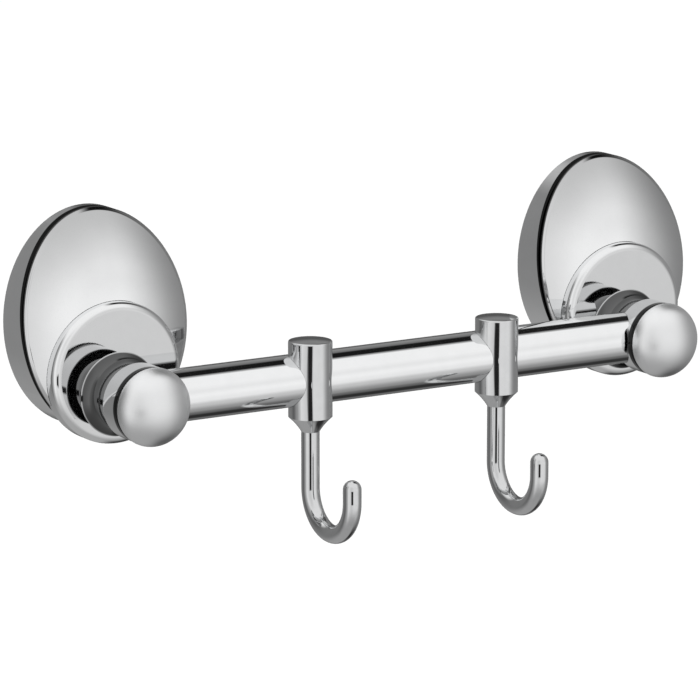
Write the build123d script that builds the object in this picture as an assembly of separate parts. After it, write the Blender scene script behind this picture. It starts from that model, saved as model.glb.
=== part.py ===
"""Towel hook rail: two wall roses on hidden brackets, two posts, one tube and two J hooks.

Millimetres. The origin is the centre of the four wall fixings, on the wall plane.
+X runs along the rail to the right, -Y comes out of the wall, +Z is up.
"""
from build123d import *
from math import sqrt
import os

# Rail and posts
post_pitch = 183.0
rail_drop = 20.5
rail_reach = 32.0
tube_d = 16.0
tube_wall = 1.0
tube_play = 0.05
tube_end_gap = 0.3

# Wall rose: an oval cup with a domed front.
# The crown of the dome is below the middle, so the rose is thin at the top and thick behind the post.
rose_half_width = 27.2
rose_height = 67.2
rose_crown_depth = 20.0
rose_crown_drop = 9.4
rose_dome_r = 74.0
rose_wall = 2.2
rim_lip = 0.9
rim_groove_width = 1.6
rim_groove_depth = 0.9

# Round flange of the post, let into a flat seat in the rose
flange_margin = 5.7
flange_rise = 6.1
flange_thickness = 6.8
flange_round = 2.4
flange_play = 0.1
seat_sink = 5.4
seat_thickness = 2.3
seat_collar = 1.9

# Post: flare, neck, collar, groove and dome
flare_r = 12.8
flare_hollow = 0.29
neck_r = 9.9
neck_length = 4.4
collar_r = 11.6
collar_forward = 0.4
collar_length = 8.8
collar_round = 0.6
groove_depth = 1.0
groove_width = 0.9
dome_r = 11.8
dome_height = 8.2
socket_past_axis = 1.0

# Hooks
hook_spacing = 67.0
carrier_r = 6.7
carrier_forward = 3.0
carrier_top = 12.3
carrier_crown = 0.7
carrier_bottom = 11.0
carrier_round = 0.5
taper_length = 4.6
taper_hollow = 0.42
wire_r = 2.8
bend_r = 12.1
bend_centre = 32.8
tip_top = 25.9
stud_r = 3.2
stud_length = 4.0
stud_play = 0.1

# Wall brackets
fixing_spacing = 30.0
fixing_hole_r = 2.5
bracket_width = 20.0
bracket_thickness = 2.0
ear_width = 14.0
upper_ear_reach = 4.5
lower_ear_reach = 9.0
ear_clearance = 0.15
upper_ear_length = 7.0
lower_ear_length = 5.0
lower_ear_gap = 4.4

# Screws
machine_r = 2.0
machine_head_r = 3.5
machine_head_h = 2.4
machine_head_round = 0.8
drive_span = 4.0
drive_width = 0.9
drive_depth = 1.2
thread_play = 0.05
through_play = 0.2
tip_short = 0.3
post_screw_x = 13.0
post_screw_grip = 4.5
hook_screw_grip = 4.8
rose_set_r = 2.0
rose_set_depth = 6.0
rose_set_recess = 0.9
tube_set_r = 1.5
tube_set_inset = 1.9
tube_set_recess = 0.4
key_ratio = 0.55
tip_gap = 0.05

post_x = post_pitch / 2
hook_x = hook_spacing / 2
tube_r = tube_d / 2
rail_z = -rail_drop
flange_z = rail_z + flange_rise
flange_r = rose_half_width - flange_margin
flange_seat = rose_crown_depth - seat_sink
flange_face = flange_seat + flange_thickness
collar_back = rail_reach + collar_forward
collar_front = collar_back + collar_length
dome_back = collar_front + groove_width
flare_end = collar_back - neck_length
inner_half_width = rose_half_width - rose_wall
inner_half_height = rose_height / 2 - rose_wall


def turned(profile):
    """Solid of revolution about the Y axis from a half profile drawn in the XY plane."""
    return revolve(profile, axis=Axis.Y, revolution_arc=360)


def along_y(radius, back, front):
    """Round bar along -Y between two distances from the wall."""
    bar = Cylinder(radius, front - back, rotation=(90, 0, 0))
    return Pos(0, -(back + front) / 2, 0) * bar


def along_x(radius, start, end):
    bar = Cylinder(radius, end - start, rotation=(0, 90, 0))
    return Pos((start + end) / 2, 0, 0) * bar


def along_z(radius, low, high):
    return Pos(0, 0, (low + high) / 2) * Cylinder(radius, high - low)


def block(x, y, z):
    """Box from three (low, high) pairs."""
    size = Box(x[1] - x[0], y[1] - y[0], z[1] - z[0])
    return Pos((x[0] + x[1]) / 2, (y[0] + y[1]) / 2, (z[0] + z[1]) / 2) * size


# Rose, drawn about its own axis at X = 0
def oval_dome(inset, dome_r):
    """Oval bar standing on the wall, drawn in all round and cut off in front by the dome's sphere."""
    outline = Plane.XZ * Ellipse(rose_half_width - inset, rose_height / 2 - inset)
    bar = extrude(outline, 2 * rose_crown_depth)
    sphere = Pos(0, rose_dome_r - rose_crown_depth, -rose_crown_drop) * Sphere(dome_r)
    return bar & sphere


rose_body = oval_dome(0, rose_dome_r)
groove_front = oval_dome(-1, rose_dome_r - rim_lip)
groove_back = oval_dome(-2, rose_dome_r - rim_lip - rim_groove_width)
groove_floor = oval_dome(rim_groove_depth, rose_dome_r)
rose_body = rose_body - (groove_front - groove_back - groove_floor)
rose_hollow = oval_dome(rose_wall, rose_dome_r - rose_wall)

seat_back = flange_seat - seat_thickness
seat = along_y(flange_r + seat_collar, seat_back, rose_crown_depth)
pocket = along_y(flange_r + flange_play, flange_seat, 2 * rose_crown_depth)
rose = rose_body - rose_hollow
rose = rose + (Pos(0, 0, flange_z) * seat & rose_body)
rose = rose - Pos(0, 0, flange_z) * pocket
through = along_y(machine_r + through_play, seat_back - 1, flange_seat + 1)
rose = rose - Pos(-post_screw_x, 0, flange_z) * through
rose = rose - Pos(post_screw_x, 0, flange_z) * through
rose_bottom = -rose_height / 2
rose_set_hole = along_z(rose_set_r + thread_play, rose_bottom - 2, rose_bottom + 5)
rose = rose - Pos(0, -rose_set_depth, 0) * rose_set_hole

# Post, drawn about its own axis at X = 0 with the rail running to +X
flare_top = ThreePointArc(
    (flare_r, -flange_face),
    (neck_r + flare_hollow * (flare_r - neck_r), -flange_face - flare_hollow * (flare_end - flange_face)),
    (neck_r, -flare_end),
)
post_lines = Polyline(
    (neck_r, -flare_end),
    (neck_r, -collar_back),
    (collar_r, -collar_back),
    (collar_r, -collar_front),
    (collar_r - groove_depth, -collar_front),
    (collar_r - groove_depth, -dome_back),
    (dome_r, -dome_back),
)
post_dome = EllipticalCenterArc((0, -dome_back), dome_r, dome_height, start_angle=270, arc_size=90)
post_axis = Polyline(
    (0, -dome_back - dome_height),
    (0, -flange_seat),
    (flare_r, -flange_seat),
    (flare_r, -flange_face),
)
post_face = make_face(Curve() + [flare_top, post_lines, post_dome, post_axis])
collar_corners = [
    post_face.vertices().sort_by_distance((collar_r, -collar_back, 0))[0],
    post_face.vertices().sort_by_distance((collar_r, -collar_front, 0))[0],
]
post_face = fillet(collar_corners, collar_round)
flange = along_y(flange_r, flange_seat, flange_face)
flange = fillet(flange.edges().filter_by(GeomType.CIRCLE).sort_by(Axis.Y)[0], flange_round)

post = Pos(0, 0, rail_z) * turned(post_face) + Pos(0, 0, flange_z) * flange
socket = along_x(tube_r + tube_play, -socket_past_axis, 2 * flange_r)
post = post - Pos(0, -rail_reach, rail_z) * socket
tapped = along_y(machine_r + thread_play, flange_seat - 1, flange_seat + post_screw_grip)
post = post - Pos(-post_screw_x, 0, flange_z) * tapped
post = post - Pos(post_screw_x, 0, flange_z) * tapped
tube_set_y = -(collar_back + tube_set_inset)
tube_set_hole = along_z(tube_set_r + thread_play, rail_z - collar_r - 2, rail_z - tube_r / 2)
post = post - Pos(0, tube_set_y, 0) * tube_set_hole

# Bracket, drawn about X = 0: a plate on the wall with an ear bent forward at each end
ear_top = inner_half_height * sqrt(1 - (ear_width / 2 / inner_half_width) ** 2) - ear_clearance
ear_bottom = -inner_half_height + lower_ear_gap
half_ear = ear_width / 2
half_plate = bracket_width / 2
plate_x = (-half_plate, half_plate)
plate_y = (-bracket_thickness, 0)
ear_x = (-half_ear, half_ear)
upper_ear_y = (-upper_ear_reach, 0)
lower_ear_y = (-lower_ear_reach, 0)
bracket = block(plate_x, plate_y, (ear_bottom + lower_ear_length, ear_top - upper_ear_length))
bracket = bracket + block(ear_x, plate_y, (ear_bottom, ear_top))
bracket = bracket + block(ear_x, upper_ear_y, (ear_top - bracket_thickness, ear_top))
bracket = bracket + block(ear_x, lower_ear_y, (ear_bottom, ear_bottom + bracket_thickness))
wall_hole = along_y(fixing_hole_r, -1, bracket_thickness + 1)
bracket = bracket - Pos(0, 0, fixing_spacing / 2) * wall_hole
bracket = bracket - Pos(0, 0, -fixing_spacing / 2) * wall_hole

# Tube, open at both ends inside the posts, with two holes for each hook
tube_half = post_x + socket_past_axis - tube_end_gap
tube = along_x(tube_r, -tube_half, tube_half)
tube = tube - along_x(tube_r - tube_wall, -tube_half - 1, tube_half + 1)
tube = Pos(0, -rail_reach, rail_z) * tube
stud_hole = along_y(stud_r + stud_play, rail_reach, rail_reach + tube_d)
screw_hole = along_y(machine_r + through_play, rail_reach - tube_d, rail_reach)
for side in (-1, 1):
    tube = tube - Pos(side * hook_x, 0, rail_z) * stud_hole
    tube = tube - Pos(side * hook_x, 0, rail_z) * screw_hole

# Hook, drawn on its own carrier axis (X = 0, Y = 0), tube axis at Z = 0
crown = ThreePointArc(
    (0, carrier_top + carrier_crown),
    (carrier_r / 2, carrier_top + 0.75 * carrier_crown),
    (carrier_r, carrier_top),
)
taper = ThreePointArc(
    (carrier_r, -carrier_bottom),
    (wire_r + taper_hollow * (carrier_r - wire_r), -carrier_bottom - taper_length / 2),
    (wire_r, -carrier_bottom - taper_length),
)
carrier_side = Line((carrier_r, carrier_top), (carrier_r, -carrier_bottom))
carrier_axis = Polyline(
    (wire_r, -carrier_bottom - taper_length),
    (0, -carrier_bottom - taper_length),
    (0, carrier_top + carrier_crown),
)
carrier_face = make_face(Curve() + [crown, carrier_side, taper, carrier_axis])
top_corner = carrier_face.vertices().sort_by_distance((carrier_r, carrier_top, 0))[0]
carrier_face = fillet(top_corner, carrier_round)
carrier = revolve(Plane.XZ * carrier_face, axis=Axis.Z, revolution_arc=360)

shank_start = (0, 0, -carrier_bottom - taper_length)
bend_start = (0, 0, -bend_centre)
bend_low = (0, -bend_r, -bend_centre - bend_r)
bend_end = (0, -2 * bend_r, -bend_centre)
tip_centre = (0, -2 * bend_r, -tip_top - wire_r)
shank_line = Line(shank_start, bend_start)
bend_arc = ThreePointArc(bend_start, bend_low, bend_end)
tip_line = Line(bend_end, tip_centre)
wire_path = Wire([shank_line, bend_arc, tip_line])
wire = sweep(Plane(shank_start, z_dir=(0, 0, -1)) * Circle(wire_r), path=wire_path)
hook = carrier + wire + Pos(*tip_centre) * Sphere(wire_r)
hook = hook - Pos(0, carrier_forward, 0) * along_x(tube_r + tube_play, -3 * carrier_r, 3 * carrier_r)
saddle_y = carrier_forward - tube_r
stud_back = -saddle_y - stud_length
stud = along_y(stud_r, stud_back, -saddle_y + 1)
hook_tapping = along_y(machine_r + thread_play, stud_back - 1, stud_back + hook_screw_grip)
hook = hook + stud - hook_tapping
carrier_y = -(rail_reach + carrier_forward)


def machine_screw(length):
    """Pan-head screw pointing to -Y, underside of the head at Y = 0."""
    head = along_y(machine_head_r, -machine_head_h, 0)
    head = fillet(head.edges().filter_by(GeomType.CIRCLE).sort_by(Axis.Y)[-1], machine_head_round)
    span = (-drive_span / 2, drive_span / 2)
    slot = (-drive_width / 2, drive_width / 2)
    cut = (machine_head_h - drive_depth, machine_head_h + 1)
    cross = block(span, cut, slot) + block(slot, cut, span)
    return head - cross + along_y(machine_r, 0, length)


def set_screw(radius, low, high):
    """Headless screw along Z with a hexagon socket in its lower end."""
    body = along_z(radius, low, high)
    socket_sketch = Pos(0, 0, low) * RegularPolygon(radius * key_ratio, 6)
    return body - extrude(socket_sketch, radius)


post_screw = machine_screw(seat_thickness + post_screw_grip - tip_short)
post_screws = []
rose_set_screws = []
tube_set_screws = []
hook_screws = []
hook_screw = machine_screw(tube_d - stud_length - tip_gap + hook_screw_grip - tip_short)
rose_set = set_screw(rose_set_r, rose_bottom + rose_set_recess, ear_bottom - tip_gap)
tube_set = set_screw(tube_set_r, rail_z - collar_r + tube_set_recess, rail_z - tube_r - tip_gap)
for side in (-1, 1):
    for screw_x in (-post_screw_x, post_screw_x):
        post_screws.append(Pos(side * post_x + screw_x, -seat_back, flange_z) * post_screw)
    rose_set_screws.append(Pos(side * post_x, -rose_set_depth, 0) * rose_set)
    tube_set_screws.append(Pos(side * post_x, tube_set_y, 0) * tube_set)
    hook_screws.append(Pos(side * hook_x, -(rail_reach - tube_r), rail_z) * hook_screw)

parts = {
    "left_bracket": Pos(-post_x, 0, 0) * bracket,
    "right_bracket": Pos(post_x, 0, 0) * bracket,
    "left_rose": Pos(-post_x, 0, 0) * rose,
    "right_rose": Pos(post_x, 0, 0) * rose,
    "left_post": Pos(-post_x, 0, 0) * post,
    "right_post": mirror(Pos(-post_x, 0, 0) * post, about=Plane.YZ),
    "rail_tube": tube,
    "left_hook": Pos(-hook_x, carrier_y, rail_z) * hook,
    "right_hook": Pos(hook_x, carrier_y, rail_z) * hook,
    "post_screws": Compound(children=post_screws),
    "rose_set_screws": Compound(children=rose_set_screws),
    "tube_set_screws": Compound(children=tube_set_screws),
    "hook_screws": Compound(children=hook_screws),
}

os.makedirs("parts", exist_ok=True)
for node, shape in parts.items():
    export_step(shape, "parts/" + node + ".step")
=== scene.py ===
import math

import bpy
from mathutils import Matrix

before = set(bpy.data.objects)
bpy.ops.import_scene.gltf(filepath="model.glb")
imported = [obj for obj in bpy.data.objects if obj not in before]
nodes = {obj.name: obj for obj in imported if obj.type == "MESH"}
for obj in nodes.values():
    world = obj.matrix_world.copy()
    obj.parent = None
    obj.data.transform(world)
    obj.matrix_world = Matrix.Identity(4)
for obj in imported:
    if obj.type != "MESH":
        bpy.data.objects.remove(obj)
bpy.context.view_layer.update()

# Wall brackets: steel plates stamped with two screw holes, an ear bent forward at each end, zinc plated.
# They are screwed to the wall inside the roses, so only the back view shows them.
bracket_dark = (0.42, 0.43, 0.44, 1)
bracket_light = (0.60, 0.61, 0.62, 1)
bracket_patch_scale = 160.0
zinc_grain_scale = 900.0
zinc_grain_detail = 6.0
zinc_grain_strength = 0.06
zinc_grain_depth = 0.0002
zinc_gloss_low = 0.26
zinc_gloss_high = 0.42

zinc_grain = bpy.data.node_groups.new("zinc_grain", "ShaderNodeTree")
zinc_grain.interface.new_socket("Scale", in_out="INPUT", socket_type="NodeSocketFloat")
zinc_grain.interface.new_socket("Mottle", in_out="OUTPUT", socket_type="NodeSocketFloat")
zinc_grain.interface.new_socket("Height", in_out="OUTPUT", socket_type="NodeSocketFloat")
grain_in = zinc_grain.nodes.new("NodeGroupInput")
grain_out = zinc_grain.nodes.new("NodeGroupOutput")
grain_place = zinc_grain.nodes.new("ShaderNodeTexCoord")
grain_patch = zinc_grain.nodes.new("ShaderNodeTexVoronoi")
grain_patch.feature = "SMOOTH_F1"
grain_fine = zinc_grain.nodes.new("ShaderNodeTexNoise")
grain_fine.inputs["Detail"].default_value = zinc_grain_detail
grain_fine.inputs["Scale"].default_value = zinc_grain_scale
zinc_grain.links.new(grain_place.outputs["Object"], grain_patch.inputs["Vector"])
zinc_grain.links.new(grain_place.outputs["Object"], grain_fine.inputs["Vector"])
zinc_grain.links.new(grain_in.outputs["Scale"], grain_patch.inputs["Scale"])
zinc_grain.links.new(grain_patch.outputs["Distance"], grain_out.inputs["Mottle"])
zinc_grain.links.new(grain_fine.outputs["Fac"], grain_out.inputs["Height"])


def zinc_plate(name, dark, light, patch_scale):
    """Zinc plating: a mottled grey with a fine matt grain."""
    material = bpy.data.materials.new(name)
    material.use_nodes = True
    tree = material.node_tree
    shader = tree.nodes["Principled BSDF"]
    shader.inputs["Metallic"].default_value = 1.0
    grain = tree.nodes.new("ShaderNodeGroup")
    grain.node_tree = zinc_grain
    grain.inputs["Scale"].default_value = patch_scale
    tint = tree.nodes.new("ShaderNodeValToRGB")
    tint.color_ramp.elements[0].color = dark
    tint.color_ramp.elements[1].color = light
    gloss = tree.nodes.new("ShaderNodeMapRange")
    gloss.inputs["To Min"].default_value = zinc_gloss_low
    gloss.inputs["To Max"].default_value = zinc_gloss_high
    bump = tree.nodes.new("ShaderNodeBump")
    bump.inputs["Strength"].default_value = zinc_grain_strength
    bump.inputs["Distance"].default_value = zinc_grain_depth
    tree.links.new(grain.outputs["Mottle"], tint.inputs["Fac"])
    tree.links.new(tint.outputs["Color"], shader.inputs["Base Color"])
    tree.links.new(grain.outputs["Height"], gloss.inputs["Value"])
    tree.links.new(gloss.outputs["Result"], shader.inputs["Roughness"])
    tree.links.new(grain.outputs["Height"], bump.inputs["Height"])
    tree.links.new(bump.outputs["Normal"], shader.inputs["Normal"])
    return material


def plate(plating, *pieces):
    """Give the named pieces one plating in place of their plain colour."""
    for piece in pieces:
        nodes[piece].data.materials.clear()
        nodes[piece].data.materials.append(plating)


bracket_zinc = zinc_plate("bracket_zinc", bracket_dark, bracket_light, bracket_patch_scale)
plate(bracket_zinc, "left_bracket", "right_bracket")

# Roses: oval zinc cups with a domed front and a groove round the edge, cast, polished and chrome plated.
# Each slips over its bracket and is locked to it by a set screw from below.
# The dome carries painted shade toward its edge and its top, so it is brightest in the middle; its edge is
# eased over, and painted shadow makes the groove behind it dark.
haze_detail = 8.0
haze_roughness = 0.62
haze_low = 0.3
haze_high = 0.7
ripple_scale = 70.0
ripple_detail = 2.0
ripple_depth = 0.001

polish = bpy.data.node_groups.new("polish", "ShaderNodeTree")
polish.interface.new_socket("Haze Scale", in_out="INPUT", socket_type="NodeSocketFloat")
polish.interface.new_socket("Haze", in_out="OUTPUT", socket_type="NodeSocketFloat")
polish.interface.new_socket("Ripple", in_out="OUTPUT", socket_type="NodeSocketFloat")
polish_in = polish.nodes.new("NodeGroupInput")
polish_out = polish.nodes.new("NodeGroupOutput")
polish_place = polish.nodes.new("ShaderNodeTexCoord")
haze = polish.nodes.new("ShaderNodeTexNoise")
haze.inputs["Detail"].default_value = haze_detail
haze.inputs["Roughness"].default_value = haze_roughness
ripple = polish.nodes.new("ShaderNodeTexNoise")
ripple.inputs["Scale"].default_value = ripple_scale
ripple.inputs["Detail"].default_value = ripple_detail
polish.links.new(polish_place.outputs["Object"], haze.inputs["Vector"])
polish.links.new(polish_place.outputs["Object"], ripple.inputs["Vector"])
polish.links.new(polish_in.outputs["Haze Scale"], haze.inputs["Scale"])
polish.links.new(haze.outputs["Fac"], polish_out.inputs["Haze"])
polish.links.new(ripple.outputs["Fac"], polish_out.inputs["Ripple"])


def chrome(name, shade, bright, haze_scale, gloss_low, gloss_high, ripple_strength):
    """Chrome plating: a mirror with a faint haze and a slow ripple left by polishing."""
    material = bpy.data.materials.new(name)
    material.use_nodes = True
    tree = material.node_tree
    shader = tree.nodes["Principled BSDF"]
    shader.inputs["Metallic"].default_value = 1.0
    marks = tree.nodes.new("ShaderNodeGroup")
    marks.node_tree = polish
    marks.inputs["Haze Scale"].default_value = haze_scale
    tint = tree.nodes.new("ShaderNodeValToRGB")
    tint.color_ramp.elements[0].position = haze_low
    tint.color_ramp.elements[0].color = shade
    tint.color_ramp.elements[1].position = haze_high
    tint.color_ramp.elements[1].color = bright
    gloss = tree.nodes.new("ShaderNodeMapRange")
    gloss.inputs["From Min"].default_value = haze_low
    gloss.inputs["From Max"].default_value = haze_high
    gloss.inputs["To Min"].default_value = gloss_low
    gloss.inputs["To Max"].default_value = gloss_high
    bump = tree.nodes.new("ShaderNodeBump")
    bump.inputs["Strength"].default_value = ripple_strength
    bump.inputs["Distance"].default_value = ripple_depth
    tree.links.new(marks.outputs["Haze"], tint.inputs["Fac"])
    tree.links.new(tint.outputs["Color"], shader.inputs["Base Color"])
    tree.links.new(marks.outputs["Haze"], gloss.inputs["Value"])
    tree.links.new(gloss.outputs["Result"], shader.inputs["Roughness"])
    tree.links.new(marks.outputs["Ripple"], bump.inputs["Height"])
    tree.links.new(bump.outputs["Normal"], shader.inputs["Normal"])
    return material


def arithmetic(tree, operation, first, second=0.0):
    """One step of arithmetic on a value, with a number or with another value."""
    step = tree.nodes.new("ShaderNodeMath")
    step.operation = operation
    tree.links.new(first, step.inputs[0])
    if isinstance(second, float):
        step.inputs[1].default_value = second
    else:
        tree.links.new(second, step.inputs[1])
    return step.outputs["Value"]


def soft_edge(tree, value, none, full, strength=1.0):
    """Soft edge of a shade or a panel: nothing at the first value, full strength at the second."""
    edge = tree.nodes.new("ShaderNodeMapRange")
    edge.interpolation_type = "SMOOTHSTEP"
    edge.inputs["From Min"].default_value = none
    edge.inputs["From Max"].default_value = full
    edge.inputs["To Max"].default_value = strength
    tree.links.new(value, edge.inputs["Value"])
    return edge.outputs["Result"]


def lay_over(tree, cover, below, above):
    """Lay a plain grey, or another colour, over the colour below it wherever the cover reaches."""
    mix = tree.nodes.new("ShaderNodeMix")
    mix.data_type = "RGBA"
    colour_below, colour_above, colour_out = mix.inputs[6], mix.inputs[7], mix.outputs[2]
    tree.links.new(cover, mix.inputs["Factor"])
    tree.links.new(below, colour_below)
    if isinstance(above, float):
        colour_above.default_value = (above, above, above, 1)
    else:
        tree.links.new(above, colour_above)
    return colour_out


def distance_from_centre(tree, across, up, out=None):
    """Distance from a piece's axis, or from a point on it where the third value is given."""
    place = tree.nodes.new("ShaderNodeCombineXYZ")
    length = tree.nodes.new("ShaderNodeVectorMath")
    length.operation = "LENGTH"
    tree.links.new(across, place.inputs["X"])
    tree.links.new(up, place.inputs["Z"])
    if out is not None:
        tree.links.new(out, place.inputs["Y"])
    tree.links.new(place.outputs["Vector"], length.inputs[0])
    return length.outputs["Value"]


rose_shade = (0.89, 0.895, 0.90, 1)
rose_bright = (0.915, 0.92, 0.925, 1)
rose_chrome = chrome(
    "rose_chrome", rose_shade, rose_bright,
    haze_scale=190.0, gloss_low=0.03, gloss_high=0.06, ripple_strength=0.003)
rose_tree = rose_chrome.node_tree
rose_shader = rose_tree.nodes["Principled BSDF"]

# The rose's own axis, its oval, and the middle of the sphere that its dome is part of.
rose_axis = 0.0915
rose_half_width = 0.0272
rose_half_height = 0.0336
sphere_back = 0.054
sphere_drop = 0.0094
rose_place = rose_tree.nodes.new("ShaderNodeTexCoord")
rose_split = rose_tree.nodes.new("ShaderNodeSeparateXYZ")
rose_tree.links.new(rose_place.outputs["Object"], rose_split.inputs["Vector"])
rose_side = arithmetic(rose_tree, "ABSOLUTE", rose_split.outputs["X"])
rose_across = arithmetic(rose_tree, "SUBTRACT", rose_side, rose_axis)
rose_up = rose_split.outputs["Z"]
oval = distance_from_centre(
    rose_tree,
    arithmetic(rose_tree, "DIVIDE", rose_across, rose_half_width),
    arithmetic(rose_tree, "DIVIDE", rose_up, rose_half_height),
)
sphere = distance_from_centre(
    rose_tree,
    rose_across,
    arithmetic(rose_tree, "ADD", rose_up, sphere_drop),
    arithmetic(rose_tree, "SUBTRACT", rose_split.outputs["Y"], sphere_back),
)

# Where each painted shade and the groove's painted shadow start and are full: by distance from the sphere's
# middle, by share of the oval, by height.
dome_lip = (0.0733, 0.0736)
groove_back = (0.0712, 0.0713)
groove_front = (0.0738, 0.0736)
groove_floor = (0.945, 0.955)
edge_painted_shade_from = (0.50, 1.0)
edge_painted_shade_strength = 0.24
top_painted_shade_from = (0.004, 0.034)
top_painted_shade_strength = 0.36
dome_painted_shade_grey = 0.12
groove_painted_shadow_grey = 0.012
on_dome = soft_edge(rose_tree, sphere, *dome_lip)
edge_painted_shade = soft_edge(rose_tree, oval, *edge_painted_shade_from, edge_painted_shade_strength)
edge_painted_shade = arithmetic(rose_tree, "MULTIPLY", edge_painted_shade, on_dome)
top_painted_shade = soft_edge(rose_tree, rose_up, *top_painted_shade_from, top_painted_shade_strength)
top_painted_shade = arithmetic(rose_tree, "MULTIPLY", top_painted_shade, on_dome)
# Painted shadow: the groove behind the dome's lip is coloured near black.
groove_painted_shadow = soft_edge(rose_tree, sphere, *groove_back)
groove_painted_shadow = arithmetic(rose_tree, "MULTIPLY", groove_painted_shadow, soft_edge(rose_tree, sphere, *groove_front))
groove_painted_shadow = arithmetic(rose_tree, "MULTIPLY", groove_painted_shadow, soft_edge(rose_tree, oval, *groove_floor))
rose_tint_and_painted_shade = rose_shader.inputs["Base Color"].links[0].from_socket
# Painted shade over the dome's edge and top, and painted shadow in the groove, laid over the chrome's
# colour.
for cover, grey in ((edge_painted_shade, dome_painted_shade_grey), (top_painted_shade, dome_painted_shade_grey), (groove_painted_shadow, groove_painted_shadow_grey)):
    rose_tint_and_painted_shade = lay_over(rose_tree, cover, rose_tint_and_painted_shade, grey)
rose_tree.links.new(rose_tint_and_painted_shade, rose_shader.inputs["Base Color"])

eased_rim = (1.01, 0.965)
eased_depth = 0.0006
rim_height = arithmetic(rose_tree, "MULTIPLY", soft_edge(rose_tree, oval, *eased_rim), on_dome)
eased_edge = rose_tree.nodes.new("ShaderNodeBump")
eased_edge.inputs["Strength"].default_value = 1.0
eased_edge.inputs["Distance"].default_value = eased_depth
rose_tree.links.new(rim_height, eased_edge.inputs["Height"])
rose_tree.links.new(rose_shader.inputs["Normal"].links[0].from_socket, eased_edge.inputs["Normal"])
rose_tree.links.new(eased_edge.outputs["Normal"], rose_shader.inputs["Normal"])
plate(rose_chrome, "left_rose", "right_rose")

# Posts: zinc castings with a flange, neck, collar and dome, chrome plated, each screwed on from inside its
# rose. The dome is left satin. Painted shade darkens the flare and neck, the back of the collar, and the
# front of the collar with its groove, and a little the flange face, as bright chrome looks there in a
# studio.
post_shade = (0.83, 0.835, 0.84, 1)
post_bright = (0.855, 0.86, 0.865, 1)
post_chrome = chrome(
    "post_chrome", post_shade, post_bright,
    haze_scale=240.0, gloss_low=0.03, gloss_high=0.06, ripple_strength=0.003)
post_tree = post_chrome.node_tree
post_shader = post_tree.nodes["Principled BSDF"]
post_place = post_tree.nodes.new("ShaderNodeTexCoord")
post_split = post_tree.nodes.new("ShaderNodeSeparateXYZ")
post_tree.links.new(post_place.outputs["Object"], post_split.inputs["Vector"])
post_out = post_split.outputs["Y"]

dome_start = 0.0420
satin_blend = 0.0004
satin_scale = 240.0
satin_detail = 3.0
satin_low = 0.36
satin_high = 0.40
dome_mask = post_tree.nodes.new("ShaderNodeMapRange")
dome_mask.inputs["From Min"].default_value = -dome_start
dome_mask.inputs["From Max"].default_value = -dome_start - satin_blend
satin_noise = post_tree.nodes.new("ShaderNodeTexNoise")
satin_noise.inputs["Scale"].default_value = satin_scale
satin_noise.inputs["Detail"].default_value = satin_detail
satin_gloss = post_tree.nodes.new("ShaderNodeMapRange")
satin_gloss.inputs["To Min"].default_value = satin_low
satin_gloss.inputs["To Max"].default_value = satin_high
post_gloss = post_tree.nodes.new("ShaderNodeMix")
gloss_behind, gloss_on_dome, gloss_out = post_gloss.inputs[2], post_gloss.inputs[3], post_gloss.outputs[0]
post_tree.links.new(post_out, dome_mask.inputs["Value"])
post_tree.links.new(post_place.outputs["Object"], satin_noise.inputs["Vector"])
post_tree.links.new(satin_noise.outputs["Fac"], satin_gloss.inputs["Value"])
post_tree.links.new(dome_mask.outputs["Result"], post_gloss.inputs["Factor"])
post_tree.links.new(post_shader.inputs["Roughness"].links[0].from_socket, gloss_behind)
post_tree.links.new(satin_gloss.outputs["Result"], gloss_on_dome)
post_tree.links.new(gloss_out, post_shader.inputs["Roughness"])


def greys_along(tree, value, value_ends, stop_ends, stops, blend="LINEAR"):
    """Greys along a value: each stop is a place between the two ends and the grey there."""
    level = tree.nodes.new("ShaderNodeMapRange")
    level.inputs["From Min"].default_value = value_ends[0]
    level.inputs["From Max"].default_value = value_ends[1]
    ramp = tree.nodes.new("ShaderNodeValToRGB")
    ramp.color_ramp.interpolation = blend
    elements = ramp.color_ramp.elements
    while len(elements) < len(stops):
        elements.new(0.5)
    for element, (place, grey) in zip(elements, stops):
        element.position = (place - stop_ends[0]) / (stop_ends[1] - stop_ends[0])
        element.color = (grey, grey, grey, 1)
    tree.links.new(value, level.inputs["Value"])
    tree.links.new(level.outputs["Result"], ramp.inputs["Fac"])
    return ramp.outputs["Color"]


# Painted shade of the casting by distance from the wall in mm, as greys multiplied into the chrome.
painted_shade_ends_mm = (18.0, 48.0)
flange_painted_shade = [(18.0, 1.0), (21.15, 1.0), (21.36, 0.74), (21.48, 0.74)]
neck_painted_shade = [(21.63, 0.12), (24.3, 0.16), (32.1, 0.40)]
collar_back_painted_shade = [(32.31, 0.02), (32.55, 0.02)]
collar_greys = [(32.85, 0.95), (39.0, 0.95)]
collar_front_painted_shade = [(39.36, 0.03), (41.91, 0.03)]
dome_greys = [(42.18, 1.0)]
post_painted_shade_greys = flange_painted_shade + neck_painted_shade + collar_back_painted_shade + collar_greys + collar_front_painted_shade + dome_greys
post_ends = (-painted_shade_ends_mm[0] / 1000.0, -painted_shade_ends_mm[1] / 1000.0)
post_painted_shade_tint = greys_along(post_tree, post_out, post_ends, painted_shade_ends_mm, post_painted_shade_greys)
# The painted shade is multiplied into the chrome's colour.
post_painted_shade_layer = post_tree.nodes.new("ShaderNodeMix")
post_painted_shade_layer.data_type = "RGBA"
post_painted_shade_layer.blend_type = "MULTIPLY"
post_painted_shade_layer.inputs["Factor"].default_value = 1.0
plain_colour, painted_shade_colour, painted_shade_result = post_painted_shade_layer.inputs[6], post_painted_shade_layer.inputs[7], post_painted_shade_layer.outputs[2]
post_tree.links.new(post_shader.inputs["Base Color"].links[0].from_socket, plain_colour)
post_tree.links.new(post_painted_shade_tint, painted_shade_colour)
post_tree.links.new(painted_shade_result, post_shader.inputs["Base Color"])
plate(post_chrome, "left_post", "right_post")

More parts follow.
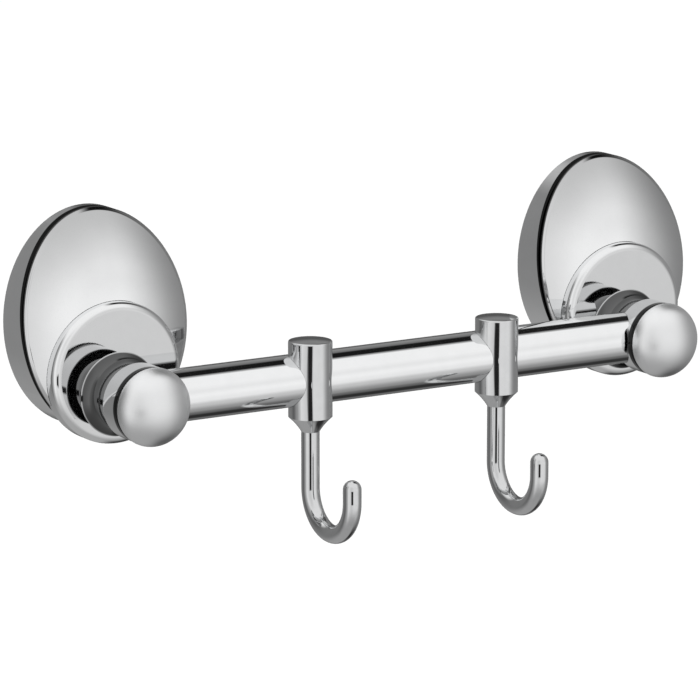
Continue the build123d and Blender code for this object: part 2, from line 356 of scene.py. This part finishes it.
# Rail tube: drawn brass or steel tube, 16 mm across with a 1 mm wall, polished and chrome plated.
# Its ends sit in the sockets of the posts, each held by a set screw from below.
tube_shade = (0.84, 0.845, 0.85, 1)
tube_bright = (0.865, 0.87, 0.875, 1)
tube_chrome = chrome(
    "tube_chrome", tube_shade, tube_bright,
    haze_scale=210.0, gloss_low=0.03, gloss_high=0.055, ripple_strength=0.003)
plate(tube_chrome, "rail_tube")

# Hooks: zinc castings, each a round carrier drawn down to a J-shaped wire, polished and chrome plated.
# The carrier is saddled over the front of the tube and held by a screw from behind.
# Painted shade: the hooks' chrome is coloured darker than the other chrome, which stands for the shade they
# show.
hook_painted_shade_dark = (0.66, 0.665, 0.67, 1)
hook_painted_shade_light = (0.70, 0.705, 0.71, 1)
hook_chrome_painted_shade = chrome(
    "hook_chrome_painted_shade", hook_painted_shade_dark, hook_painted_shade_light,
    haze_scale=320.0, gloss_low=0.035, gloss_high=0.07, ripple_strength=0.004)
plate(hook_chrome_painted_shade, "left_hook", "right_hook")

# Screws: steel machine screws and set screws, bright zinc plated, which hold the pieces above together.
# They are driven from inside the roses, from behind the tube or from below, so little of them shows.
screw_dark = (0.46, 0.46, 0.46, 1)
screw_light = (0.66, 0.66, 0.65, 1)
screw_patch_scale = 420.0
screw_zinc = zinc_plate("screw_zinc", screw_dark, screw_light, screw_patch_scale)
plate(screw_zinc, "post_screws", "rose_set_screws", "tube_set_screws", "hook_screws")

# Floor: a plain pale sheet of matt card, laid flat well below the rail.
# The camera sees it, and the chrome doesn't mirror it, because the tent has its own panels below.
floor_width = 24.0
floor_level = -0.32
floor_roughness = 0.9
floor_cloud_scale = 3.0
floor_dark = (0.90, 0.90, 0.90, 1)
floor_light = (0.93, 0.93, 0.93, 1)
bpy.ops.object.select_all(action="DESELECT")
bpy.ops.mesh.primitive_plane_add(size=floor_width, location=(0.0, 0.0, floor_level))
floor = bpy.context.object
floor.name = "floor"
floor.visible_glossy = False
floor_white = bpy.data.materials.new("floor_white")
floor_white.use_nodes = True
floor_tree = floor_white.node_tree
floor_shader = floor_tree.nodes["Principled BSDF"]
floor_shader.inputs["Roughness"].default_value = floor_roughness
floor_place = floor_tree.nodes.new("ShaderNodeTexCoord")
floor_noise = floor_tree.nodes.new("ShaderNodeTexNoise")
floor_noise.inputs["Scale"].default_value = floor_cloud_scale
floor_tint = floor_tree.nodes.new("ShaderNodeValToRGB")
floor_tint.color_ramp.elements[0].color = floor_dark
floor_tint.color_ramp.elements[1].color = floor_light
floor_tree.links.new(floor_place.outputs["Object"], floor_noise.inputs["Vector"])
floor_tree.links.new(floor_noise.outputs["Fac"], floor_tint.inputs["Fac"])
floor_tree.links.new(floor_tint.outputs["Color"], floor_shader.inputs["Base Color"])
floor.data.materials.append(floor_white)

# Studio: a white tent round the rail with soft panels, lit evenly, as is set up to photograph chrome.
# Strips of panel run along the rail, with a black flag over the back and another below, grey card
# closes the right-hand end, and the front panels leave a narrow dark gap for the lens.
scene = bpy.context.scene
scene.view_settings.view_transform = "Standard"
studio = bpy.data.worlds.new("studio")
scene.world = studio
studio.use_nodes = True
tent = studio.node_tree
tent.nodes.clear()
tent_place = tent.nodes.new("ShaderNodeTexCoord")
tent_split = tent.nodes.new("ShaderNodeSeparateXYZ")
tent.links.new(tent_place.outputs["Generated"], tent_split.inputs["Vector"])
tent_right = tent_split.outputs["X"]
tent_up = tent_split.outputs["Z"]
tent_ahead = arithmetic(tent, "MULTIPLY", tent_split.outputs["Y"], -1.0)

# Greys of the walls by angle round the rail to the right, and of the strips by angle upwards.
# Both are in degrees from straight out of the wall.
side_turn = arithmetic(tent, "ARCTAN2", tent_right, tent_ahead)
roll_turn = arithmetic(tent, "ARCTAN2", tent_up, tent_ahead)
full_turn = (-math.pi, math.pi)
full_turn_degrees = (-180.0, 180.0)
wall_greys = [
    (-180, 0.24), (-150, 0.24), (-127, 0.15), (-101, 0.39), (-89, 0.64), (-77, 0.97), (-40, 0.80),
    (-7, 0.95), (28, 0.92), (100, 0.30), (180, 0.26),
]
strip_greys = [
    (-180, 0.11), (-150, 0.14), (-126, 0.16), (-112, 0.03), (-98, 0.03), (-82, 0.15), (-66, 0.33),
    (-40, 0.62), (-21, 0.92), (0, 1.0), (20, 0.92), (33, 0.97), (46, 1.0), (82, 1.0), (90, 0.35),
    (96, 0.01), (118, 0.01), (130, 0.20), (150, 0.28), (166, 0.11), (180, 0.11),
]
walls = greys_along(tent, side_turn, full_turn, full_turn_degrees, wall_greys, "EASE")
strips = greys_along(tent, roll_turn, full_turn, full_turn_degrees, strip_greys, "EASE")

# Edges of the cards that hang in front of the walls, by how far up or to the right one looks.
roof_edge = (0.45, 0.80)
roof_grey = 1.0
base_edge = (-0.30, -0.85)
base_grey = 0.42
strips_edge = (0.22, 0.42)
right_card_edge = (0.52, 1.0)
right_card_grey = 0.29
tent_grey = lay_over(tent, soft_edge(tent, tent_up, *roof_edge), walls, roof_grey)
tent_grey = lay_over(tent, soft_edge(tent, tent_up, *base_edge), tent_grey, base_grey)
tent_grey = lay_over(tent, soft_edge(tent, tent_right, *strips_edge), tent_grey, strips)
tent_grey = lay_over(tent, soft_edge(tent, tent_right, *right_card_edge), tent_grey, right_card_grey)

lens_turn = math.radians(30.5)
lens_gap_sides = (math.radians(17.0), math.radians(8.0))
lens_gap_top = (-0.10, -0.16)
lens_gap_foot = (-0.32, -0.26)
lens_gap_grey = 0.02
lens_apart = arithmetic(tent, "ABSOLUTE", arithmetic(tent, "ADD", side_turn, lens_turn))
lens_gap = soft_edge(tent, lens_apart, *lens_gap_sides)
lens_gap = arithmetic(tent, "MULTIPLY", lens_gap, soft_edge(tent, tent_up, *lens_gap_top))
lens_gap = arithmetic(tent, "MULTIPLY", lens_gap, soft_edge(tent, tent_up, *lens_gap_foot))
tent_grey = lay_over(tent, lens_gap, tent_grey, lens_gap_grey)

room_white = (1, 1, 1, 1)
room_strength = 1.15
tent_mirror = tent.nodes.new("ShaderNodeBackground")
tent.links.new(tent_grey, tent_mirror.inputs["Color"])
tent_white = tent.nodes.new("ShaderNodeBackground")
tent_white.inputs["Color"].default_value = room_white
tent_white.inputs["Strength"].default_value = room_strength
tent_ray = tent.nodes.new("ShaderNodeLightPath")
tent_mix = tent.nodes.new("ShaderNodeMixShader")
tent_out = tent.nodes.new("ShaderNodeOutputWorld")
tent.links.new(tent_ray.outputs["Is Glossy Ray"], tent_mix.inputs["Fac"])
tent.links.new(tent_white.outputs["Background"], tent_mix.inputs[1])
tent.links.new(tent_mirror.outputs["Background"], tent_mix.inputs[2])
tent.links.new(tent_mix.outputs["Shader"], tent_out.inputs["Surface"])

# Camera: a long lens to the left of the rail and a little above it.
# It aims at the tube, left of the middle, with no shift and no depth of field.
view_turn = math.radians(31.4)
view_rise = math.radians(12.0)
view_distance = 1.314
aim = (-0.01767, -0.032, -0.0134)
camera_data = bpy.data.cameras.new("camera")
camera = bpy.data.objects.new("camera", camera_data)
scene.collection.objects.link(camera)
camera_data.sensor_width = 36.0
camera_data.lens = 223.0
camera.location = (
    aim[0] - view_distance * math.sin(view_turn) * math.cos(view_rise),
    aim[1] - view_distance * math.cos(view_turn) * math.cos(view_rise),
    aim[2] + view_distance * math.sin(view_rise),
)
camera.rotation_euler = (math.radians(90.0) - view_rise, 0.0, -view_turn)
scene.camera = camera
